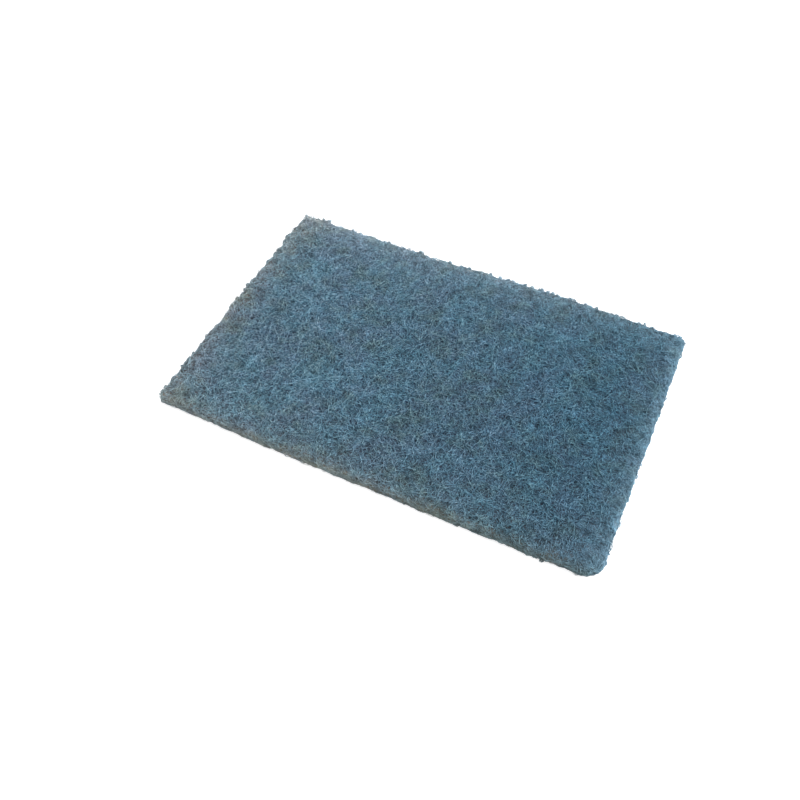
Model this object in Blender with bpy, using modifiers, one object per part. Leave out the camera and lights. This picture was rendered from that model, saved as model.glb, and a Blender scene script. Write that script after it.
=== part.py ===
"""A scouring pad: one rectangular sheet of lofty nonwoven fibre web, die-cut from a wide roll.

The pad is a single solid. It lies flat with its length along X, its width along Y and the floor at
z = 0. The origin is the middle of the underside. Sizes are in metres.

The underside is flat where it rests. The upper face swells and dips as the web was laid, the cut
sides stray a little from the straight, each corner is worn to a radius of its own, and both rims
are soft.
"""

import math

import bmesh
import bpy
from mathutils import Matrix, Vector, noise

# Overall size of the sheet as it was meant to be cut: a 9 x 6 inch hand pad.
LENGTH = 0.2286
WIDTH = 0.1524
THICKNESS = 0.0072

# Corner radii in plan, seen from above with the front side towards the viewer.
FRONT_LEFT_RADIUS = 0.0025
FRONT_RIGHT_RADIUS = 0.0075
BACK_RIGHT_RADIUS = 0.0055
BACK_LEFT_RADIUS = 0.0024

# The rounding of the upper and lower rims, of which neither takes more than a share of the
# thickness. An edge is a rim where its two faces turn by more than the angle, in degrees.
RIM_RADIUS = 0.0014
RIM_LARGEST_SHARE = 0.45
RIM_SEGMENTS = 3
RIM_ANGLE = 60

# How deep the cutter pressed the upper face beside the sides, and how far in from them.
PRESS_DEPTH = 0.0003
PRESS_REACH = 0.006

# How the cut sides stray from the straight. The front side stands out by half its bow a little
# right of its middle and falls back towards its ends. The back side swings to and fro in one long
# wave, the left side is cut a little askew, and every side is ragged as well. The straying fades
# out towards the middle of the sheet.
FRONT_BOW = 0.0009
FRONT_BOW_PEAK = 0.014
BACK_SWING = 0.0008
BACK_WAVE_LENGTH = 0.170
BACK_WAVE_PEAK = 0.044
LEFT_SKEW = 0.0007
RAGGED_HEIGHT = 0.0010
RAGGED_LENGTH = 0.009

# Relief of the upper face: broad swells of the web, and the tufts and hollows between them.
SWELL_HEIGHT = 0.0007
SWELL_LENGTH = 0.024
TUFT_HEIGHT = 0.0009
TUFT_LENGTH = 0.008

# Pitch of the modelled surface.
CELL = 0.0032

# The coated fibre's colour, linear, and its roughness.
WEB_COLOUR = (0.083, 0.150, 0.205, 1.0)
WEB_ROUGHNESS = 0.9

# The vertex group that the relief moves.
FACE_GROUP = "upper_face"

# A step in the noise that takes it to a stretch unlike the first.
OTHER_FIELD = Vector((31.7, 47.3, 11.9))


def clear_scene():
    """Remove every object, so that the script gives the same model each time it runs."""
    for old in list(bpy.data.objects):
        bpy.data.objects.remove(old, do_unlink=True)


def new_collection(name):
    """Return a new collection in the scene."""
    collection = bpy.data.collections.new(name)
    bpy.context.scene.collection.children.link(collection)
    return collection


def web_material():
    """Return the blue resin-coated fibre, which is matt and not metallic."""
    material = bpy.data.materials.new("blue_nonwoven_web")
    material.use_nodes = True
    shader = material.node_tree.nodes["Principled BSDF"]
    shader.inputs["Base Color"].default_value = WEB_COLOUR
    shader.inputs["Roughness"].default_value = WEB_ROUGHNESS
    shader.inputs["Metallic"].default_value = 0.0
    return material


def corner_radius(x, y):
    """Return the plan radius of the corner that lies in the same quarter as (x, y)."""
    if y < 0:
        return FRONT_LEFT_RADIUS if x < 0 else FRONT_RIGHT_RADIUS
    return BACK_LEFT_RADIUS if x < 0 else BACK_RIGHT_RADIUS


def rounded(x, y):
    """Move a point of the square-cornered sheet into the sheet with rounded corners.

    Inside each corner square the point goes to the quarter disc that fits that square, so the
    square's outer sides become the arc and its inner sides stay where they are.
    """
    radius = corner_radius(x, y)
    centre_x = LENGTH / 2 - radius
    centre_y = WIDTH / 2 - radius
    u = (abs(x) - centre_x) / radius
    v = (abs(y) - centre_y) / radius
    if u <= 0 or v <= 0:
        return x, y
    disc_u = u * math.sqrt(1 - v * v / 2)
    disc_v = v * math.sqrt(1 - u * u / 2)
    return (
        math.copysign(centre_x + disc_u * radius, x),
        math.copysign(centre_y + disc_v * radius, y),
    )


def strayed(x, y, z):
    """Shift a point of the sheet in plan as its cut sides stray."""
    along = 2 * x / LENGTH
    across = 2 * y / WIDTH
    place = Vector((x, y, z)) / RAGGED_LENGTH
    stray_x = RAGGED_HEIGHT * noise.noise(place)
    stray_y = RAGGED_HEIGHT * noise.noise(place + OTHER_FIELD)
    if x < 0:
        stray_x -= LEFT_SKEW * across
    if y < 0:
        from_peak = 2 * (x - FRONT_BOW_PEAK) / LENGTH
        stray_y -= FRONT_BOW * (0.5 - from_peak * from_peak)
    else:
        stray_y += BACK_SWING * math.cos(math.tau * (x - BACK_WAVE_PEAK) / BACK_WAVE_LENGTH)
    return x + stray_x * along * along, y + stray_y * across * across


def pressed(x, y):
    """Return how far the cutter pressed the face down at (x, y), which is most at the sides."""
    inset = min(LENGTH / 2 - abs(x), WIDTH / 2 - abs(y))
    nearness = max(0.0, 1.0 - inset / PRESS_REACH)
    return PRESS_DEPTH * nearness * nearness


def web_sheet():
    """Return a bmesh of the whole pad with sharp rims: the face's grid, the sides, the underside."""
    sheet = bmesh.new()
    bmesh.ops.create_grid(
        sheet,
        x_segments=round(LENGTH / CELL),
        y_segments=round(WIDTH / CELL),
        size=0.5,
        matrix=Matrix.Translation((0, 0, THICKNESS)) @ Matrix.Diagonal((LENGTH, WIDTH, 1.0, 1.0)),
    )
    outline = [edge for edge in sheet.edges if edge.is_boundary]
    sides = bmesh.ops.extrude_edge_only(sheet, edges=outline)["geom"]
    for vertex in sides:
        if isinstance(vertex, bmesh.types.BMVert):
            vertex.co.z = 0.0
    lower_rim = [edge for edge in sides if isinstance(edge, bmesh.types.BMEdge) and edge.is_boundary]
    bmesh.ops.contextual_create(sheet, geom=lower_rim)
    bmesh.ops.recalc_face_normals(sheet, faces=sheet.faces)

    for vertex in sheet.verts:
        x, y, z = vertex.co
        sunk = pressed(x, y) if z > 0 else 0.0
        vertex.co = (*strayed(*rounded(x, y), z), z - sunk)
    return sheet


def centre_in_plan(mesh):
    """Move the mesh so that the middle of its extents is over the origin."""
    xs = [vertex.co.x for vertex in mesh.vertices]
    ys = [vertex.co.y for vertex in mesh.vertices]
    middle = Vector((min(xs) + max(xs), min(ys) + max(ys), 0.0)) / 2
    mesh.transform(Matrix.Translation(-middle))


def add_relief(pad, name, height, length):
    """Raise and sink the upper face by up to half of height, in waves about length long."""
    texture = bpy.data.textures.new(name, "CLOUDS")
    texture.noise_scale = length
    texture.noise_depth = 1
    relief = pad.modifiers.new(name, "DISPLACE")
    relief.texture = texture
    relief.texture_coords = "LOCAL"
    relief.direction = "Z"
    relief.mid_level = 0.5
    relief.strength = height
    relief.vertex_group = FACE_GROUP


def build_pad(collection):
    """Build the pad as one object, with its rims and its relief as modifiers."""
    mesh = bpy.data.meshes.new("scouring_pad")
    sheet = web_sheet()
    sheet.to_mesh(mesh)
    sheet.free()
    centre_in_plan(mesh)
    mesh.shade_smooth()

    pad = bpy.data.objects.new("scouring_pad", mesh)
    collection.objects.link(pad)
    mesh.materials.append(web_material())

    face = pad.vertex_groups.new(name=FACE_GROUP)
    face.add([v.index for v in mesh.vertices if v.co.z > THICKNESS / 2], 1.0, "REPLACE")

    rims = pad.modifiers.new("soft_rims", "BEVEL")
    rims.width = min(RIM_RADIUS, RIM_LARGEST_SHARE * THICKNESS)
    rims.segments = RIM_SEGMENTS
    rims.limit_method = "ANGLE"
    rims.angle_limit = math.radians(RIM_ANGLE)
    add_relief(pad, "swells", SWELL_HEIGHT, SWELL_LENGTH)
    add_relief(pad, "tufts", TUFT_HEIGHT, TUFT_LENGTH)
    return pad


clear_scene()
build_pad(new_collection("Scouring pad"))
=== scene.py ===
"""The finished look of a scouring pad: an open web of crimped, resin-coated fibre.

The pad is one cut sheet. Its solid in the frame gives the outline and the thickness. Here a body of
web, painted darker for the shade deep inside the web, stands in that solid's place, a little inside
it, and thousands of separate fibres lie over its upper face, its cut sides and its underside. Tufts
of fibre ends stand out of the sides.
"""

import logging
import math
from dataclasses import dataclass
from enum import Enum
from typing import Any, Callable, Iterator

import bmesh
import bpy
import numpy as np
from mathutils import Matrix, Vector, noise
from mathutils.bvhtree import BVHTree


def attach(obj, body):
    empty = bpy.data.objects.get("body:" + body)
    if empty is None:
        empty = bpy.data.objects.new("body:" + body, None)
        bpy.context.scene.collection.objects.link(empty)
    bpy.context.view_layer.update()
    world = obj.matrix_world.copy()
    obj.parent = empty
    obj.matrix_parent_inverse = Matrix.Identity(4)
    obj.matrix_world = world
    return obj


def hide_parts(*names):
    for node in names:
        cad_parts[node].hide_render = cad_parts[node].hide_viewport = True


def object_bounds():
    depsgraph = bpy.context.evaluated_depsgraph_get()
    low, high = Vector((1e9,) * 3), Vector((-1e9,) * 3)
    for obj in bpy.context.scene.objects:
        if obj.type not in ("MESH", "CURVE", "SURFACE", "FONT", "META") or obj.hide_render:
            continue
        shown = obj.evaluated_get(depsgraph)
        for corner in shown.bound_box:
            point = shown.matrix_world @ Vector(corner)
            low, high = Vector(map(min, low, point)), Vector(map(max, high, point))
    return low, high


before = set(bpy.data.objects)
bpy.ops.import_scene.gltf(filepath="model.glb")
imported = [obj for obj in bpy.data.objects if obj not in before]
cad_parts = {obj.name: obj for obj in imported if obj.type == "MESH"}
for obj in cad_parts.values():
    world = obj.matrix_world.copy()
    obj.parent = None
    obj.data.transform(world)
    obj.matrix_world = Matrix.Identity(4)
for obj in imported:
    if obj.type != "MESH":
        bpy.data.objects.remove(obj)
CAD_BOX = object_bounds()

log = logging.getLogger("scouring_pad")

PAD_NODE = "scouring_pad"
PAD_BODY = "root"

MM = 0.001

Colour = tuple[float, float, float, float]
WHITE: Colour = (1.0, 1.0, 1.0, 1.0)

# The map that a finish is baked into, and the names of the two values that a fibre's points hold.
BAKE_MAP = "OFBake"
TONE = "tone"
# A point's loft sets the painted shade of a fibre where it dives into the web.
LOFT = "loft"

# A fibre's section has three sides, which is round enough for a thread thinner than a pixel.
SECTION_SIDES = 3

# The share of a fibre's cell in the bake map that stays empty along each of its sides.
CELL_BORDER = 0.06

# Vertices as near as this are merged: along the seams of the solid's mesh, and at a fibre's ends.
SEAM = 0.001 * MM
FIBRE_END = 0.0001 * MM

# Between which shares of the mean a fibre's thickness and the length of its hops vary.
UNEVEN = (0.75, 1.25)

# The noise seldom goes further than this from 0.
NOISE_PEAK = 0.5

# Steps in the noise that take it to stretches unlike the first.
PIT_FIELD = Vector((7.1, 3.7, 9.3))
TEAR_FIELD = Vector((23.9, 5.3, 14.1))


def linear(hex_colour: str) -> Colour:
    """Turn an sRGB colour into linear light, with the numbers of the sRGB standard.

    Args:
        hex_colour: The colour as "#rrggbb".

    Returns:
        Red, green, blue and a full alpha, as Blender's sockets take them.
    """
    channels = [int(hex_colour[i:i + 2], 16) / 255 for i in (1, 3, 5)]
    red, green, blue = (
        c / 12.92 if c <= 0.04045 else ((c + 0.055) / 1.055) ** 2.4 for c in channels
    )
    return red, green, blue, 1.0


def scaled(colour: Colour, factor: float) -> Colour:
    """Return a linear colour made lighter or darker by a factor."""
    red, green, blue = (channel * factor for channel in colour[:3])
    return red, green, blue, 1.0


def between(low: float, high: float, share: float) -> float:
    """Return the value that lies a share of the way from low to high."""
    return low + (high - low) * share


def add_node(
    tree: bpy.types.NodeTree,
    kind: str,
    settings: dict[str, Any] | None = None,
    inputs: dict[str | int, Any] | None = None,
) -> bpy.types.Node:
    """Add one node to a tree, with its settings and its links.

    Args:
        tree: The node tree.
        kind: The node's type.
        settings: The node's own properties.
        inputs: For each input, the output that feeds it or the value that it holds.

    Returns:
        The new node.
    """
    node = tree.nodes.new(kind)
    for name, value in (settings or {}).items():
        setattr(node, name, value)
    for name, value in (inputs or {}).items():
        if isinstance(value, bpy.types.NodeSocket):
            tree.links.new(value, node.inputs[name])
        else:
            node.inputs[name].default_value = value
    return node


def link_object(name: str, data: bpy.types.ID) -> bpy.types.Object:
    """Make an object and link it into the scene.

    Args:
        name: The object's name.
        data: Its mesh, curve, lamp or camera.

    Returns:
        The object.
    """
    made = bpy.data.objects.new(name, data)
    bpy.context.scene.collection.objects.link(made)
    return made


def evaluated_mesh(source: bpy.types.Object) -> bpy.types.Mesh:
    """Return a new mesh that holds an object's shape with its modifiers applied."""
    graph = bpy.context.evaluated_depsgraph_get()
    return bpy.data.meshes.new_from_object(source.evaluated_get(graph))


def add_to_pad(piece: bpy.types.Object) -> None:
    """Let a finished piece move with the pad."""
    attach(piece, PAD_BODY)


def around_the_sides(share: float, z: float) -> Vector:
    """Find a place on the four sides of the solid's box.

    Args:
        share: How far round the sides the place lies, from 0 to 1. The front and the right side
            take the first half, and the back and the left side the other.
        z: The place's height.

    Returns:
        The place.
    """
    low, high = CAD_BOX
    length = high.x - low.x
    width = high.y - low.y
    reach = share * 2 * (length + width)
    if reach < length:
        return Vector((low.x + reach, low.y, z))
    if reach < length + width:
        return Vector((high.x, low.y + reach - length, z))
    if reach < 2 * length + width:
        return Vector((low.x + reach - length - width, high.y, z))
    return Vector((low.x, low.y + reach - 2 * length - width, z))


class Side(Enum):
    """A cut side of the sheet: the axis that it lies across, and whether it is the far side."""

    LEFT = ("X", False)
    RIGHT = ("X", True)
    FRONT = ("Y", False)
    BACK = ("Y", True)


class Face(Enum):
    """The part of the pad's surface that a layer of fibres starts on."""

    UPPER = "upper"
    SIDES = "sides"
    UNDER = "under"


@dataclass(frozen=True)
class Margin:
    """Painted light along one cut side: a paler coat, for light that comes in through the thin web.

    Attributes:
        side: The cut side.
        painted_light: The colour of the painted light, towards which the coat goes.
        share: How far it goes there, at the side itself.
        reach: The distance from the side in which it fades to about a third, in metres.
        foot: How much of it there is at the floor, as a share of how much there is at the rim.
    """

    side: Side
    painted_light: str
    share: float
    reach: float
    foot: float = 1.0

    def over(
        self,
        tree: bpy.types.NodeTree,
        axes: bpy.types.Node,
        colour: bpy.types.NodeSocket,
    ) -> bpy.types.NodeSocket:
        """Lay the margin's painted light over a colour.

        The inset is 0 at the side and falls by one in each reach, so that its exponential is 1
        there and about a third one reach away.

        Args:
            tree: The material's node tree.
            axes: The node that gives the place's coordinates one by one.
            colour: The coat's colour.

        Returns:
            The socket that holds the colour with its bloom.
        """
        axis, far = self.side.value
        low, high = CAD_BOX
        edge = getattr(high if far else low, axis.lower())
        inset = add_node(
            tree,
            "ShaderNodeMapRange",
            {"clamp": False},
            {
                "Value": axes.outputs[axis],
                "From Min": edge,
                "From Max": edge + (-self.reach if far else self.reach),
                "To Min": 0.0,
                "To Max": -1.0,
            },
        )
        beside = add_node(
            tree, "ShaderNodeMath", {"operation": "MINIMUM"}, {0: inset.outputs[0], 1: 0.0}
        )
        fading = add_node(tree, "ShaderNodeMath", {"operation": "EXPONENT"}, {0: beside.outputs[0]})
        risen = add_node(
            tree,
            "ShaderNodeMapRange",
            inputs={
                "Value": axes.outputs["Z"],
                "From Min": low.z,
                "From Max": high.z,
                "To Min": self.share * self.foot,
                "To Max": self.share,
            },
        )
        amount = add_node(
            tree,
            "ShaderNodeMath",
            {"operation": "MULTIPLY"},
            {0: fading.outputs[0], 1: risen.outputs[0]},
        )
        lightened = add_node(
            tree,
            "ShaderNodeMix",
            {"data_type": "RGBA"},
            {"Factor": amount.outputs[0], "A": colour, "B": linear(self.painted_light)},
        )
        return lightened.outputs["Result"]


@dataclass(frozen=True)
class ResinCoat:
    """The pigmented resin on the fibres, whose colour drifts over the sheet.

    It gives the eye broad changes of hue, small drab patches and lighter and darker blotches. It
    also carries painted light: one end painted paler than the other, and margins painted paler.

    Attributes:
        drift: Width of the broad changes of hue, in metres.
        turning: Between which values of its noise the hue turns from teal to violet.
        patch: Width of a drab patch, in metres.
        speck: Width of the small specks that break up a patch, in metres.
        speckling: How much the specks' noise counts beside that of the patches.
        dulling: Between which values of the two noises' sum the coat turns drab.
        blotch: Width of the places where more or less resin pooled, in metres.
        filling: Between which values of its noise a place goes from least to most resin.
        pooling: How much lighter or darker the coat is there.
        teal, violet, drab: The tints between which the hue changes, and that of the patches.
        painted_lit_end, painted_dim_end: How light the coat is painted at the left end and at the
            right end, for light that falls off across the pad.
        lit_end_tint, dim_end_tint: The tints of the coat at those two ends.
        margins: The painted light along the four cut sides, where it fades at two rates on two of
            them.
    """

    drift: float = 17 * MM
    turning: tuple[float, float] = (0.32, 0.68)
    patch: float = 12 * MM
    speck: float = 4 * MM
    speckling: float = 0.35
    dulling: tuple[float, float] = (0.62, 0.92)
    blotch: float = 4 * MM
    filling: tuple[float, float] = (0.2, 0.8)
    pooling: float = 0.48
    teal: str = "#f3ffff"
    violet: str = "#fff6fb"
    drab: str = "#f0e9dd"
    painted_lit_end: float = 1.73
    painted_dim_end: float = 0.80
    lit_end_tint: str = "#ffe9de"
    dim_end_tint: str = "#f2ffff"
    # Painted light: the margins paint the coat paler along the cut sides, for light that comes in
    # also paint the front wall lighter, most at the floor, where it lies in shade, and tint it
    # olive.
    # through the thin web there, most on the right and the back, towards the lamp. The front ones
    margins: tuple[Margin, ...] = (
        Margin(Side.FRONT, "#b8b08a", 0.06, 16 * MM),
        Margin(Side.BACK, "#a8d4ea", 0.07, 24 * MM),
        Margin(Side.LEFT, "#d4bc88", 0.14, 8 * MM, foot=0.2),
        Margin(Side.BACK, "#dcebf4", 0.22, 6 * MM, foot=0.2),
        Margin(Side.RIGHT, "#c4e2f8", 0.30, 6 * MM),
        Margin(Side.FRONT, "#b4b4a0", 0.22, 2.2 * MM, foot=1.7),
    )

    def over(
        self,
        tree: bpy.types.NodeTree,
        place: bpy.types.NodeSocket,
        colour: bpy.types.NodeSocket,
    ) -> bpy.types.NodeSocket:
        """Let the coat's drift, patches and blotches change a colour, with painted light at its
        margins and ends.

        Args:
            tree: The material's node tree.
            place: The place on the pad, in metres.
            colour: The colour of the evenly coated web.

        Returns:
            The socket that holds the changed colour.
        """
        axes = add_node(tree, "ShaderNodeSeparateXYZ", inputs={"Vector": place})
        tinted = add_node(
            tree,
            "ShaderNodeMix",
            {"data_type": "RGBA", "blend_type": "MULTIPLY"},
            {"Factor": 1.0, "A": colour, "B": self.hue(tree, place)},
        )
        coat = tinted.outputs["Result"]
        # Painted light along the cut sides.
        for margin in self.margins:
            coat = margin.over(tree, axes, coat)
        # Painted light: the coat is painted lighter towards the left end and darker towards the
        # right, for
        # light that falls off across the pad.
        low, high = CAD_BOX
        along = add_node(
            tree,
            "ShaderNodeMapRange",
            inputs={"Value": axes.outputs["X"], "From Min": low.x, "From Max": high.x},
        )
        painted_falloff = add_node(
            tree,
            "ShaderNodeMix",
            {"data_type": "RGBA"},
            {
                "Factor": along.outputs[0],
                "A": scaled(linear(self.lit_end_tint), self.painted_lit_end),
                "B": scaled(linear(self.dim_end_tint), self.painted_dim_end),
            },
        )
        falloff_coat = add_node(
            tree,
            "ShaderNodeVectorMath",
            {"operation": "MULTIPLY"},
            {0: coat, 1: painted_falloff.outputs["Result"]},
        )
        pools = add_node(
            tree,
            "ShaderNodeTexNoise",
            inputs={"Vector": place, "Scale": 1 / self.blotch, "Detail": 2.0},
        )
        least, most = self.filling
        strength = add_node(
            tree,
            "ShaderNodeMapRange",
            inputs={
                "Value": pools.outputs["Fac"],
                "From Min": least,
                "From Max": most,
                "To Min": 1 - self.pooling,
                "To Max": 1 + self.pooling,
            },
        )
        pooled = add_node(
            tree,
            "ShaderNodeVectorMath",
            {"operation": "SCALE"},
            {0: falloff_coat.outputs[0], "Scale": strength.outputs[0]},
        )
        return pooled.outputs[0]

    def hue(self, tree: bpy.types.NodeTree, place: bpy.types.NodeSocket) -> bpy.types.NodeSocket:
        """Build the nodes that give the tint of the broad changes and of the patches.

        Args:
            tree: The material's node tree.
            place: The place on the pad, in metres.

        Returns:
            The socket that holds the tint.
        """
        broad = add_node(
            tree,
            "ShaderNodeTexNoise",
            inputs={"Vector": place, "Scale": 1 / self.drift, "Detail": 2.0, "Roughness": 0.6},
        )
        all_teal, all_violet = self.turning
        turn = add_node(
            tree,
            "ShaderNodeMapRange",
            {"interpolation_type": "SMOOTHSTEP"},
            {"Value": broad.outputs["Fac"], "From Min": all_teal, "From Max": all_violet},
        )
        hued = add_node(
            tree,
            "ShaderNodeMix",
            {"data_type": "RGBA"},
            {"Factor": turn.outputs[0], "A": linear(self.teal), "B": linear(self.violet)},
        )
        patches = add_node(
            tree,
            "ShaderNodeTexNoise",
            inputs={"Vector": place, "Scale": 1 / self.patch, "Detail": 2.0, "Roughness": 0.6},
        )
        specks = add_node(
            tree,
            "ShaderNodeTexNoise",
            inputs={"Vector": place, "Scale": 1 / self.speck, "Detail": 1.0},
        )
        broken = add_node(
            tree,
            "ShaderNodeMath",
            {"operation": "MULTIPLY_ADD"},
            {0: specks.outputs["Fac"], 1: self.speckling, 2: patches.outputs["Fac"]},
        )
        clear, dull = self.dulling
        drabness = add_node(
            tree,
            "ShaderNodeMapRange",
            {"interpolation_type": "SMOOTHSTEP"},
            {"Value": broken.outputs[0], "From Min": clear, "From Max": dull},
        )
        patched = add_node(
            tree,
            "ShaderNodeMix",
            {"data_type": "RGBA"},
            {"Factor": drabness.outputs[0], "A": hued.outputs["Result"], "B": linear(self.drab)},
        )
        return patched.outputs["Result"]


@dataclass(frozen=True)
class DeepWebFinish:
    """Nonwoven nylon web, resin-bonded: what is seen between the outer fibres.

    It gives the eye dark blue hollows, crossed by the dimmer fibres of the layers below, painted
    dark for the shade deep inside the web. The drawn fibres are a few times coarser than real ones,
    which would be too fine to show.

    Attributes:
        strand: Spacing of the fibres that the pattern draws, in metres.
        line: How far from its middle value the noise still draws a fibre, which fades to there.
        apart: How far the noise of the second set of fibres lies from that of the first, in metres.
        swirl: Width of the swirls that the drawn fibres bend in, in metres.
        wander: How far a drawn fibre bends aside, in metres.
        relief: Height of a drawn fibre over the hollow beside it, in metres.
        bump: How strongly the light shows that relief.
        hollow, fibre: The colours of the hollows and of the drawn fibres, both painted dark for
            shade.
        roughness, specular: How matt the web is, and how much it reflects.
    """

    strand: float = 1.2 * MM
    line: float = 0.085
    apart: float = 500 * MM
    swirl: float = 3.0 * MM
    wander: float = 1.0 * MM
    relief: float = 0.35 * MM
    bump: float = 0.8
    hollow: str = "#11263a"
    fibre: str = "#4e748c"
    roughness: float = 0.85
    specular: float = 0.3

    def strands(
        self,
        tree: bpy.types.NodeTree,
        place: bpy.types.NodeSocket,
        shift: float,
    ) -> bpy.types.NodeSocket:
        """Draw one set of fibres, where a smooth noise passes through its middle value.

        Args:
            tree: The material's node tree.
            place: The place on the pad, already bent aside.
            shift: How far this set's noise lies from that of the first set, in metres.

        Returns:
            The socket that is 1 along a fibre and 0 beside it.
        """
        moved = add_node(
            tree, "ShaderNodeVectorMath", {"operation": "ADD"}, {0: place, 1: (shift, shift, shift)}
        )
        field = add_node(
            tree,
            "ShaderNodeTexNoise",
            inputs={"Vector": moved.outputs[0], "Scale": 1 / self.strand, "Detail": 0.5},
        )
        centred = add_node(
            tree, "ShaderNodeMath", {"operation": "SUBTRACT"}, {0: field.outputs["Fac"], 1: 0.5}
        )
        away = add_node(tree, "ShaderNodeMath", {"operation": "ABSOLUTE"}, {0: centred.outputs[0]})
        drawn = add_node(
            tree,
            "ShaderNodeMapRange",
            {"interpolation_type": "SMOOTHSTEP"},
            {
                "Value": away.outputs[0],
                "From Min": 0.0,
                "From Max": self.line,
                "To Min": 1.0,
                "To Max": 0.0,
            },
        )
        return drawn.outputs[0]

    def material(self, resin: ResinCoat) -> bpy.types.Material:
        """Make the material of the web's body.

        Args:
            resin: The coat that lets its colour drift.

        Returns:
            The material.
        """
        made = bpy.data.materials.new("deep_nonwoven_web")
        made.use_nodes = True
        tree = made.node_tree
        shader = tree.nodes["Principled BSDF"]
        place = add_node(tree, "ShaderNodeTexCoord").outputs["Object"]
        swirls = add_node(
            tree,
            "ShaderNodeTexNoise",
            inputs={"Vector": place, "Scale": 1 / self.swirl, "Detail": 1.0},
        )
        swing = add_node(
            tree,
            "ShaderNodeVectorMath",
            {"operation": "SCALE"},
            {0: swirls.outputs["Color"], "Scale": self.wander},
        )
        bent = add_node(
            tree, "ShaderNodeVectorMath", {"operation": "ADD"}, {0: place, 1: swing.outputs[0]}
        ).outputs[0]
        one = self.strands(tree, bent, 0.0)
        other = self.strands(tree, bent, self.apart)
        crossed = add_node(tree, "ShaderNodeMath", {"operation": "MAXIMUM"}, {0: one, 1: other})
        # Painted shade: the hollows and the drawn fibres are dark for the shade deep inside the
        # web.
        coat = add_node(
            tree,
            "ShaderNodeMix",
            {"data_type": "RGBA"},
            {"Factor": crossed.outputs[0], "A": linear(self.hollow), "B": linear(self.fibre)},
        )
        raised = add_node(
            tree,
            "ShaderNodeBump",
            inputs={"Strength": self.bump, "Distance": self.relief, "Height": crossed.outputs[0]},
        )
        colour = resin.over(tree, place, coat.outputs["Result"])
        tree.links.new(colour, shader.inputs["Base Color"])
        tree.links.new(raised.outputs[0], shader.inputs["Normal"])
        shader.inputs["Roughness"].default_value = self.roughness
        shader.inputs["Specular IOR Level"].default_value = self.specular
        return made


@dataclass(frozen=True)
class CoatedFibreFinish:
    """Crimped nylon staple fibre, sprayed with a pigmented resin that dried on it in beads.

    It gives the eye a pale, matt blue thread, painted darker where it dives into the web for the
    shade there, with beads of more and less resin along it.

    Attributes:
        bead: Length of a bead of resin along the fibre, in metres.
        filling: Between which values of its noise a fibre goes from least to most resin.
        beading: How much lighter and smoother most resin makes it, and least darker and rougher.
        painted_depth_shade, pale, dim: The painted shade of a fibre down in the web, and the
            colours of
        the palest and the dimmest fibre on top of it.
        roughness, specular: How matt the fibre is, and how much it reflects.
    """

    bead: float = 1.3 * MM
    filling: tuple[float, float] = (0.3, 0.7)
    beading: float = 0.12
    painted_depth_shade: str = "#2a5a74"
    pale: str = "#8bb4cc"
    dim: str = "#638faa"
    roughness: float = 0.7
    specular: float = 0.35

    def material(self, resin: ResinCoat) -> bpy.types.Material:
        """Make the fibres' material.

        Args:
            resin: The coat that lets its colour drift.

        Returns:
            The material.
        """
        made = bpy.data.materials.new("resin_coated_nylon_fibre")
        made.use_nodes = True
        tree = made.node_tree
        shader = tree.nodes["Principled BSDF"]
        place = add_node(tree, "ShaderNodeTexCoord").outputs["Object"]
        tone = add_node(tree, "ShaderNodeAttribute", {"attribute_name": TONE}).outputs["Fac"]
        loft = add_node(tree, "ShaderNodeAttribute", {"attribute_name": LOFT}).outputs["Fac"]
        upper = add_node(
            tree,
            "ShaderNodeMix",
            {"data_type": "RGBA"},
            {"Factor": tone, "A": linear(self.dim), "B": linear(self.pale)},
        )
        # Painted shade: where its loft is low, a fibre takes the dark colour of the shade deep in
        # the web.
        coat = add_node(
            tree,
            "ShaderNodeMix",
            {"data_type": "RGBA"},
            {"Factor": loft, "A": linear(self.painted_depth_shade), "B": upper.outputs["Result"]},
        )
        beads = add_node(
            tree,
            "ShaderNodeTexNoise",
            inputs={"Vector": place, "Scale": 1 / self.bead, "Detail": 1.0},
        )
        least, most = self.filling
        lightness, rough = (
            add_node(
                tree,
                "ShaderNodeMapRange",
                inputs={
                    "Value": beads.outputs["Fac"],
                    "From Min": least,
                    "From Max": most,
                    "To Min": at_least,
                    "To Max": at_most,
                },
            )
            for at_least, at_most in (
                (1 - self.beading, 1 + self.beading),
                (self.roughness + self.beading, self.roughness - self.beading),
            )
        )
        beaded = add_node(
            tree,
            "ShaderNodeVectorMath",
            {"operation": "SCALE"},
            {0: coat.outputs["Result"], "Scale": lightness.outputs[0]},
        )
        colour = resin.over(tree, place, beaded.outputs[0])
        tree.links.new(colour, shader.inputs["Base Color"])
        tree.links.new(rough.outputs[0], shader.inputs["Roughness"])
        shader.inputs["Specular IOR Level"].default_value = self.specular
        return made


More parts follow.
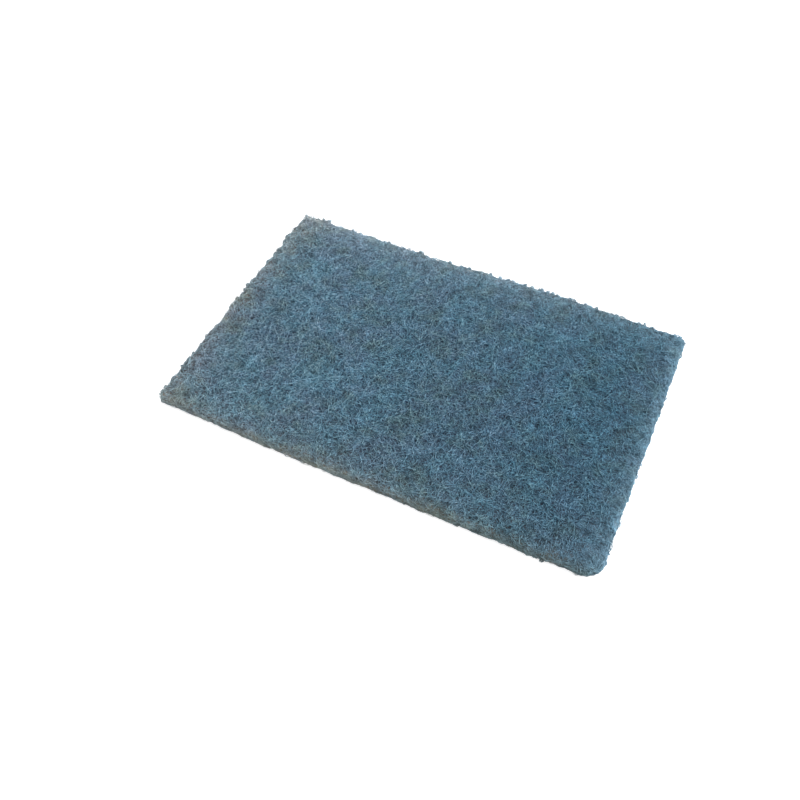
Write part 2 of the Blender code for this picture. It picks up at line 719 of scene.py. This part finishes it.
@dataclass
class WebBody:
    """The body of the web: the pad's solid, drawn in a little, with tufts and pits.

    Attributes:
        cell: Pitch of its mesh.
        smoothing: How far each vertex goes to the middle of its neighbours, which rounds the net.
        sink: How far the tufts' tops lie inside the solid on the average.
        tuft, tuft_height: Width of the tufts and how far they rise and fall.
        pit, pit_depth: Width of the open places between the tufts, and how deep they go.
        pit_onset: The value of the pits' noise at which the web begins to open.
        closed: How far in from the cut sides the pits reach their full depth.
        tear, tear_height: Width of the bumps that the cutter tore in the upper rim along the back
            and the left side, and how far they rise and fall.
        rim: How far in from those sides the torn rim reaches.
        fill: How full the pad is, from 0, slack, to 1, tight. It is not used.
        piece: The body's object, once it is built.
        ground: The surface that the fibres follow, once the body is built.
    """

    cell: float = 1.25 * MM
    smoothing: float = 0.5
    sink: float = 0.35 * MM
    tuft: float = 5.0 * MM
    tuft_height: float = 0.45 * MM
    pit: float = 2.6 * MM
    pit_depth: float = 1.5 * MM
    pit_onset: float = 0.1
    closed: float = 4.0 * MM
    tear: float = 3.4 * MM
    tear_height: float = 2.0 * MM
    rim: float = 3.0 * MM
    fill: float = 0.5
    piece: bpy.types.Object | None = None
    ground: BVHTree | None = None

    def remeshed(self) -> bpy.types.Mesh:
        """Remesh the solid's shape.

        Returns:
            The shape as an even net of small faces.
        """
        shell = bmesh.new()
        shell.from_mesh(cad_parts[PAD_NODE].data)
        bmesh.ops.remove_doubles(shell, verts=shell.verts, dist=SEAM)
        rough = bpy.data.meshes.new("web_rough")
        shell.to_mesh(rough)
        shell.free()
        holder = link_object("web_rough", rough)
        voxels = holder.modifiers.new("net", "REMESH")
        voxels.mode = "VOXEL"
        voxels.voxel_size = self.cell
        fine = evaluated_mesh(holder)
        bpy.data.objects.remove(holder)
        bpy.data.meshes.remove(rough)
        return fine

    def shift(self, net: bmesh.types.BMesh, depth: Callable[[Vector], float]) -> None:
        """Move every vertex inwards along its normal, but none below the floor.

        Args:
            net: The body's mesh.
            depth: Gives how far the vertex at a place goes.
        """
        net.normal_update()
        moves = [vertex.normal * -depth(vertex.co) for vertex in net.verts]
        for vertex, move in zip(net.verts, moves):
            vertex.co += move
            vertex.co.z = max(vertex.co.z, 0.0)

    def tufted(self, place: Vector) -> float:
        """Work out how far inside the solid the tufts' tops lie.

        Args:
            place: The place on the solid.

        Returns:
            The depth there, which the torn rim makes less or more.
        """
        high = CAD_BOX[1]
        inset = max(0.0, min(high.x + place.x, high.y - place.y))
        nearness = max(0.0, 1.0 - inset / self.rim) * (place.z / high.z) ** 2
        torn = noise.noise(place / self.tear + TEAR_FIELD) * self.tear_height
        return self.sink - noise.noise(place / self.tuft) * self.tuft_height - torn * nearness

    def pitted(self, place: Vector) -> float:
        """Work out how deep the open places between the tufts go down.

        Args:
            place: The place on the tufts.

        Returns:
            The depth there, which is 0 outside the open places.
        """
        high = CAD_BOX[1]
        inset = max(0.0, min(high.x - abs(place.x), high.y - abs(place.y)))
        openness = min(1.0, inset / self.closed)
        pits = max(0.0, noise.noise(place / self.pit + PIT_FIELD) - self.pit_onset)
        return pits / NOISE_PEAK * self.pit_depth * openness

    def build(self) -> bpy.types.Object:
        """Build the body from the pad's solid, with tufts and pits all over it.

        The fibres follow the tufts and cross over the pits, so the ground for them is taken before
        the pits are sunk.

        Returns:
            The body's object.
        """
        fine = self.remeshed()
        net = bmesh.new()
        net.from_mesh(fine)
        bmesh.ops.smooth_vert(
            net,
            verts=net.verts,
            factor=self.smoothing,
            use_axis_x=True,
            use_axis_y=True,
            use_axis_z=True,
        )
        self.shift(net, self.tufted)
        self.ground = BVHTree.FromBMesh(net)
        self.shift(net, self.pitted)
        net.to_mesh(fine)
        net.free()
        fine.name = "web_body"
        fine.shade_smooth()
        self.piece = link_object("web_body", fine)
        return self.piece

    def dress(self, material: bpy.types.Material) -> None:
        """Give the body its finish and put it in the solid's place.

        Args:
            material: The finish of the deep web.
        """
        self.piece.data.materials.clear()
        self.piece.data.materials.append(material)
        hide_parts(PAD_NODE)
        add_to_pad(self.piece)


@dataclass
class Route:
    """One fibre's way through the web.

    Attributes:
        points: The fibre's points, from end to end.
        lofts: For each point, how far it is lofted, from 0 to 1, which also sets its painted shade.
        thick: The fibre's radius.
        tone: How pale the fibre is, from 0 to 1.
    """

    points: list[Vector]
    lofts: list[float]
    thick: float
    tone: float


@dataclass
class FibreMass:
    """Many fibres in one mesh, each closed, three-sided and tapered at its ends.

    Attributes:
        name: The piece's name.
        seed: Start of the random draws.
        fibres: How many fibres it holds.
        knots: Points along a fibre.
        radius: A fibre's mean radius. A real fibre is about a fifth as thick, which is too fine to
            show here, so these are as coarse as the threads that the eye makes out.
        piece: The fibres' object, once it is built.
    """

    name: str
    seed: int
    fibres: int = 2450
    knots: int = 15
    radius: float = 0.12 * MM
    piece: bpy.types.Object | None = None

    def routes(self, ground: BVHTree, draw: np.random.Generator) -> Iterator[Route]:
        """Yield the way of each fibre over the ground."""
        raise NotImplementedError

    def thickness(self, draw: np.random.Generator) -> float:
        """Return the radius of one fibre."""
        return self.radius * between(*UNEVEN, draw.random())

    def build(self, ground: BVHTree) -> bpy.types.Object:
        """Build the fibres as one mesh.

        Args:
            ground: The surface that the fibres follow.

        Returns:
            The fibres' object.
        """
        curve = bpy.data.curves.new(self.name, "CURVE")
        curve.dimensions = "3D"
        profile = self.profile()
        curve.bevel_mode = "OBJECT"
        curve.bevel_object = profile
        lofts: list[float] = []
        tones: list[float] = []
        for route in self.routes(ground, np.random.default_rng(self.seed)):
            radii = [0.0, *[route.thick] * (self.knots - 2), 0.0]
            spline = curve.splines.new("POLY")
            spline.points.add(self.knots - 1)
            spline.points.foreach_set("co", [n for p in route.points for n in (*p, 1.0)])
            spline.points.foreach_set("radius", radii)
            lofts += route.lofts
            tones += [route.tone] * self.knots
        holder = link_object(f"{self.name}_curve", curve)
        mesh = evaluated_mesh(holder)
        for used in (holder, profile):
            bpy.data.objects.remove(used)
        self.note_on_points(mesh, LOFT, lofts)
        self.note_on_points(mesh, TONE, tones)
        self.map_for_baking(mesh)
        self.close_ends(mesh)
        mesh.name = self.name
        mesh.shade_smooth()
        self.piece = link_object(self.name, mesh)
        return self.piece

    def profile(self) -> bpy.types.Object:
        """Draw the section of a fibre.

        Returns:
            The three-sided ring, one metre in radius, that is drawn along a fibre.
        """
        ring = bpy.data.curves.new("fibre_section", "CURVE")
        spline = ring.splines.new("POLY")
        spline.points.add(SECTION_SIDES - 1)
        for corner, point in enumerate(spline.points):
            angle = math.tau * corner / SECTION_SIDES
            point.co = (math.cos(angle), math.sin(angle), 0.0, 1.0)
        spline.use_cyclic_u = True
        return link_object("fibre_section", ring)

    def note_on_points(self, mesh: bpy.types.Mesh, name: str, values: list[float]) -> None:
        """Store a value for each of the fibres' points on the corners of its section."""
        note = mesh.attributes.new(name, "FLOAT", "POINT")
        note.data.foreach_set("value", np.repeat(values, SECTION_SIDES).astype(np.float32))

    def map_for_baking(self, mesh: bpy.types.Mesh) -> None:
        """Give each fibre a cell of its own in a square map: its length across, its girth up.

        Args:
            mesh: The fibres' mesh, all of four-cornered faces, before the ends are closed.
        """
        corners = np.empty(len(mesh.loops), dtype=np.int64)
        mesh.loops.foreach_get("vertex_index", corners)
        ring = corners // SECTION_SIDES
        around = (corners % SECTION_SIDES).reshape(-1, 4)
        wraps = (around == 0).any(axis=1) & (around == SECTION_SIDES - 1).any(axis=1)
        girth = np.where(wraps[:, None] & (around == 0), SECTION_SIDES, around).ravel()
        fibre = ring // self.knots
        side = math.ceil(math.sqrt(self.fibres))
        inner = 1 - 2 * CELL_BORDER
        across = CELL_BORDER + inner * (ring % self.knots) / (self.knots - 1)
        up = CELL_BORDER + inner * girth / SECTION_SIDES
        places = np.stack([(fibre % side + across) / side, (fibre // side + up) / side], axis=1)
        while mesh.uv_layers:
            mesh.uv_layers.remove(mesh.uv_layers[0])
        layer = mesh.uv_layers.new(name=BAKE_MAP)
        layer.uv.foreach_set("vector", places.astype(np.float32).ravel())

    def close_ends(self, mesh: bpy.types.Mesh) -> None:
        """Draw each fibre's end section together into one point.

        Args:
            mesh: The fibres' mesh.
        """
        net = bmesh.new()
        net.from_mesh(mesh)
        bmesh.ops.remove_doubles(net, verts=net.verts, dist=FIBRE_END)
        net.to_mesh(mesh)
        net.free()

    def dress(self, material: bpy.types.Material) -> None:
        """Give the fibres their finish and add them to the pad.

        Args:
            material: The finish of the coated fibre.
        """
        self.piece.data.materials.clear()
        self.piece.data.materials.append(material)
        add_to_pad(self.piece)


@dataclass
class FibreLayer(FibreMass):
    """One layer of crimped fibres that lie over the body, dipping into it and rising again.

    Attributes:
        face: Where the fibres start.
        step: Distance between two points.
        curl: The most that a fibre turns in its plane, in radians for each metre.
        least_curl: The curl of the straightest fibre, as a share of the most.
        sway: How far at most a fibre turns to one side on the whole, as a share of the curl.
        crimp: Length of one crimp, over which the turning swings to and fro.
        hop: Length of one rise and dip.
        low, high: How far above the ground a fibre's dips and rises lie.
        dive: How deep below the ground its two ends lie.
        clump, clump_height: Width and height of the clumps in which fibres stand up together.
        lowest_stand: How far fibres stand up at the floor, as a share of how far at the upper face.
    """

    face: Face = Face.UPPER
    step: float = 0.85 * MM
    curl: float = 0.7 / MM
    least_curl: float = 0.3
    sway: float = 0.125
    crimp: float = 4.2 * MM
    hop: float = 2.7 * MM
    low: float = 0.0
    high: float = 0.75 * MM
    dive: float = 0.35 * MM
    clump: float = 2.0 * MM
    clump_height: float = 0.5 * MM
    lowest_stand: float = 0.35

    def start(self, draw: np.random.Generator) -> Vector:
        """Choose where a fibre starts.

        Args:
            draw: The layer's random draws.

        Returns:
            A random place on the side of the box that the layer's face lies against.
        """
        low, high = CAD_BOX
        across, up, around = draw.random(3)
        if self.face is Face.SIDES:
            return around_the_sides(around, between(low.z, high.z, up))
        x = between(low.x, high.x, across)
        y = between(low.y, high.y, around)
        return Vector((x, y, high.z if self.face is Face.UPPER else low.z))

    def crest(self, foot: Vector, rise: float) -> float:
        """Work out how far above the ground a fibre lies, away from its ends.

        Fibres stand up less and less towards the floor, where the cutter pressed them flat.

        Args:
            foot: The place on the ground.
            rise: How far the fibre is on its way from a dip to a rise, from 0 to 1.

        Returns:
            The height above the ground.
        """
        height = min(1.0, max(0.0, foot.z / CAD_BOX[1].z))
        standing = between(self.lowest_stand, 1.0, height ** 2)
        clump = max(0.0, noise.noise(foot / self.clump)) / NOISE_PEAK * self.clump_height
        return self.low + ((self.high - self.low) * rise + clump) * standing

    def routes(self, ground: BVHTree, draw: np.random.Generator) -> Iterator[Route]:
        """Lead each fibre from a random start over the ground.

        Args:
            ground: The surface that the fibres follow.
            draw: The layer's random draws.

        Yields:
            The way of each fibre.
        """
        for _ in range(self.fibres):
            start = self.start(draw)
            thick = self.thickness(draw)
            turn_phase, lift_phase, heading_angle, stray, swing, tone = draw.random(6)
            hop = self.hop * between(*UNEVEN, stray)
            foot, normal, _, _ = ground.find_nearest(start)
            side = normal.orthogonal().normalized()
            heading = Matrix.Rotation(heading_angle * math.tau, 3, normal) @ side
            strongest = self.curl * between(self.least_curl, 1.0, swing)
            drift = self.curl * between(-self.sway, self.sway, stray)
            route = Route([], [], thick, tone)
            for knot in range(self.knots):
                travelled = knot * self.step
                share = knot / (self.knots - 1)
                rise = 0.5 + 0.5 * math.sin(math.tau * (travelled / hop + lift_phase))
                cover = math.sqrt(math.sin(math.pi * share)) if 0 < share < 1 else 0.0
                place = foot + normal * between(-self.dive, self.crest(foot, rise), cover)
                place.z = max(place.z, thick)
                route.points.append(place)
                route.lofts.append(rise * cover)
                swung = math.sin(math.tau * (travelled / self.crimp + turn_phase))
                bend = swung * strongest + drift
                heading = Matrix.Rotation(bend * self.step, 3, normal) @ heading
                foot, normal, _, _ = ground.find_nearest(foot + heading * self.step)
                heading = (heading - normal * heading.dot(normal)).normalized()
            yield route


@dataclass
class CutTufts(FibreMass):
    """Tufts of fibre ends that stand out of the cut sides, where the cutter tore the web.

    Attributes:
        first, last: Between which shares of the way round the sides the tufts stand.
        ends: Fibre ends in one tuft.
        spread: Radius of the patch in which a tuft's ends are rooted.
        gather: How far from the tip the ends stay, as a share of the spread.
        bend: How far at most an end bends outwards on its way, as a share of the spread.
        reach: How far the longest tuft stands out.
        least_reach: How far the shortest one does, as a share of that.
        root: How deep below the ground the ends are rooted.
        band: Height of the band below the upper face in which the tufts stand.
        root_loft, tip_loft: How far the ends are lofted at their two ends, from 0 to 1, which sets
            their
        painted shade.
    """

    first: float = 0.5
    last: float = 1.0
    knots: int = 5
    ends: int = 20
    spread: float = 1.2 * MM
    gather: float = 0.4
    bend: float = 0.3
    reach: float = 2.0 * MM
    least_reach: float = 0.3
    root: float = 0.4 * MM
    band: float = 2.0 * MM
    root_loft: float = 0.1
    tip_loft: float = 0.5

    def routes(self, ground: BVHTree, draw: np.random.Generator) -> Iterator[Route]:
        """Let the ends of each tuft run together towards its tip.

        Args:
            ground: The surface that the tufts stand on.
            draw: The tufts' random draws.

        Yields:
            The way of each fibre end.
        """
        for _ in range(self.fibres // self.ends):
            around, drop, height, lean, lean_angle = draw.random(5)
            share_round = between(self.first, self.last, around)
            start = around_the_sides(share_round, CAD_BOX[1].z - self.band * drop)
            foot, normal, _, _ = ground.find_nearest(start)
            side = normal.orthogonal().normalized()
            leaning = Matrix.Rotation(lean_angle * math.tau, 3, normal) @ side
            standing = normal * self.reach * between(self.least_reach, 1.0, height)
            tip = foot + standing + leaning * self.spread * lean
            for _ in range(self.ends):
                angle, far, tone, bow = draw.random(4)
                outwards = Matrix.Rotation(angle * math.tau, 3, normal) @ side
                rooted = foot - normal * self.root + outwards * self.spread * math.sqrt(far)
                end = tip + outwards * self.gather * self.spread
                route = Route([], [], self.thickness(draw), tone)
                for knot in range(self.knots):
                    share = knot / (self.knots - 1)
                    bent = outwards * self.bend * self.spread * bow * math.sin(math.pi * share)
                    place = rooted.lerp(end, share) + bent
                    place.z = max(place.z, route.thick)
                    route.points.append(place)
                    route.lofts.append(between(self.root_loft, self.tip_loft, share))
                yield route


@dataclass
class Studio:
    """A plain white floor under even, soft light, with one large soft lamp behind the right end.

    Attributes:
        floor: Width of the floor.
        card: The floor's colour.
        glow: Share of the floor's own white, which the pad's shadow can't darken.
        sky: Strength of the even light from all around, of which the camera sees plain white.
        lamp_power, lamp_width: The lamp's power in watts, and its width.
        lamp_place: Where the lamp hangs, facing the pad's middle.
    """

    floor: float = 6.0
    card: str = "#e6e6e6"
    glow: float = 0.7
    sky: float = 0.75
    lamp_power: float = 20.0
    lamp_width: float = 0.9
    lamp_place: tuple[float, float, float] = (0.75, 0.35, 0.95)

    def build(self) -> None:
        """Build the floor, the surrounding light and the lamp."""
        self.lay_floor()
        self.light_sky()
        self.hang_lamp()

    def lay_floor(self) -> None:
        """Lay the floor at the pad's underside."""
        net = bmesh.new()
        bmesh.ops.create_grid(net, x_segments=1, y_segments=1, size=self.floor / 2)
        mesh = bpy.data.meshes.new("studio_floor")
        net.to_mesh(mesh)
        net.free()
        mesh.materials.append(self.floor_material())
        link_object("studio_floor", mesh)

    def floor_material(self) -> bpy.types.Material:
        """Make the floor's material.

        Returns:
            Matt white card, which the camera sees as white, apart from the pad's shadow.
        """
        made = bpy.data.materials.new("white_card")
        made.use_nodes = True
        tree = made.node_tree
        shader = tree.nodes["Principled BSDF"]
        path = add_node(tree, "ShaderNodeLightPath")
        seen = add_node(
            tree,
            "ShaderNodeMath",
            {"operation": "MAXIMUM"},
            {0: path.outputs["Is Camera Ray"], 1: path.outputs["Is Glossy Ray"]},
        )
        strength = add_node(
            tree, "ShaderNodeMath", {"operation": "MULTIPLY"}, {0: seen.outputs[0], 1: self.glow}
        )
        shader.inputs["Base Color"].default_value = linear(self.card)
        shader.inputs["Roughness"].default_value = 1.0
        shader.inputs["Specular IOR Level"].default_value = 0.0
        shader.inputs["Emission Color"].default_value = WHITE
        tree.links.new(strength.outputs[0], shader.inputs["Emission Strength"])
        return made

    def light_sky(self) -> None:
        """Surround the scene with even white light that the camera sees as white."""
        world = bpy.data.worlds.new("soft_sky")
        bpy.context.scene.world = world
        world.use_nodes = True
        tree = world.node_tree
        sky = tree.nodes["Background"]
        path = add_node(tree, "ShaderNodeLightPath")
        strength = add_node(
            tree,
            "ShaderNodeMapRange",
            inputs={"Value": path.outputs["Is Camera Ray"], "To Min": self.sky, "To Max": 1.0},
        )
        sky.inputs["Color"].default_value = WHITE
        tree.links.new(strength.outputs[0], sky.inputs["Strength"])

    def hang_lamp(self) -> None:
        """Hang the lamp and turn it to the pad's middle."""
        lamp = bpy.data.lights.new("soft_lamp", "AREA")
        lamp.energy = self.lamp_power
        lamp.size = self.lamp_width
        holder = link_object("soft_lamp", lamp)
        holder.location = self.lamp_place
        holder.rotation_mode = "QUATERNION"
        holder.rotation_quaternion = holder.location.to_track_quat("Z", "Y")


@dataclass
class Viewpoint:
    """The camera, at the angle from which the pad was seen.

    Attributes:
        azimuth, elevation, roll: Where the camera stands and how it leans, in degrees.
        distance: From the camera to the pad's middle, along the line of sight.
        aside, above: How far the pad's middle lies right of and above the line of sight.
        focal_pixels, picture_pixels: Focal length and picture width, in pixels.
        nearest: The least distance at which the camera sees anything.
    """

    azimuth: float = 25.871
    elevation: float = 51.834
    roll: float = -0.289
    distance: float = 444.62 * MM
    aside: float = 14.357 * MM
    above: float = 13.535 * MM
    focal_pixels: float = 862.45
    picture_pixels: float = 800.0
    nearest: float = 10 * MM

    def build(self) -> None:
        """Place the camera and make it the scene's own."""
        turn = Matrix.Rotation(math.radians(self.azimuth), 3, "Z")
        tilt = Matrix.Rotation(math.radians(90 - self.elevation), 3, "X")
        lean = Matrix.Rotation(math.radians(self.roll), 3, "Z")
        axes = turn @ tilt @ lean
        camera = bpy.data.cameras.new("camera")
        camera.lens = self.focal_pixels / self.picture_pixels * camera.sensor_width
        camera.clip_start = self.nearest
        holder = link_object("camera", camera)
        place = axes @ Vector((-self.aside, -self.above, self.distance))
        holder.matrix_world = Matrix.Translation(place) @ axes.to_4x4()
        bpy.context.scene.camera = holder


def main() -> None:
    """Build the pad's body, its fibres, the studio and the camera."""
    logging.basicConfig(level=logging.INFO, format="%(name)s: %(message)s")
    bpy.context.scene.view_settings.view_transform = "Standard"
    resin = ResinCoat()
    body = WebBody()
    body.build()
    body.dress(DeepWebFinish().material(resin))
    log.info("%s: %d faces", body.piece.name, len(body.piece.data.polygons))
    fibre = CoatedFibreFinish().material(resin)
    masses = [
        FibreLayer("lower_fibres", seed=11, low=-0.2 * MM, high=0.45 * MM),
        FibreLayer("middle_fibres", seed=12, high=0.65 * MM),
        FibreLayer("topmost_fibres", seed=15, low=0.1 * MM, high=0.85 * MM),
        FibreLayer(
            "side_fibres",
            seed=13,
            fibres=1800,
            face=Face.SIDES,
            high=0.8 * MM,
            clump=3.0 * MM,
            clump_height=1.5 * MM,
        ),
        FibreLayer("under_fibres", seed=14, fibres=1300, face=Face.UNDER, high=0.4 * MM),
        CutTufts("rim_tufts", seed=16, fibres=2000),
        CutTufts(
            "wall_tufts", seed=17, fibres=900, first=0.2, last=0.5, reach=1.3 * MM, band=7 * MM
        ),
    ]
    for mass in masses:
        piece = mass.build(body.ground)
        mass.dress(fibre)
        log.info("%s: %d fibres, %d faces", piece.name, mass.fibres, len(piece.data.polygons))
    Studio().build()
    Viewpoint().build()


if __name__ == "__main__":
    main()
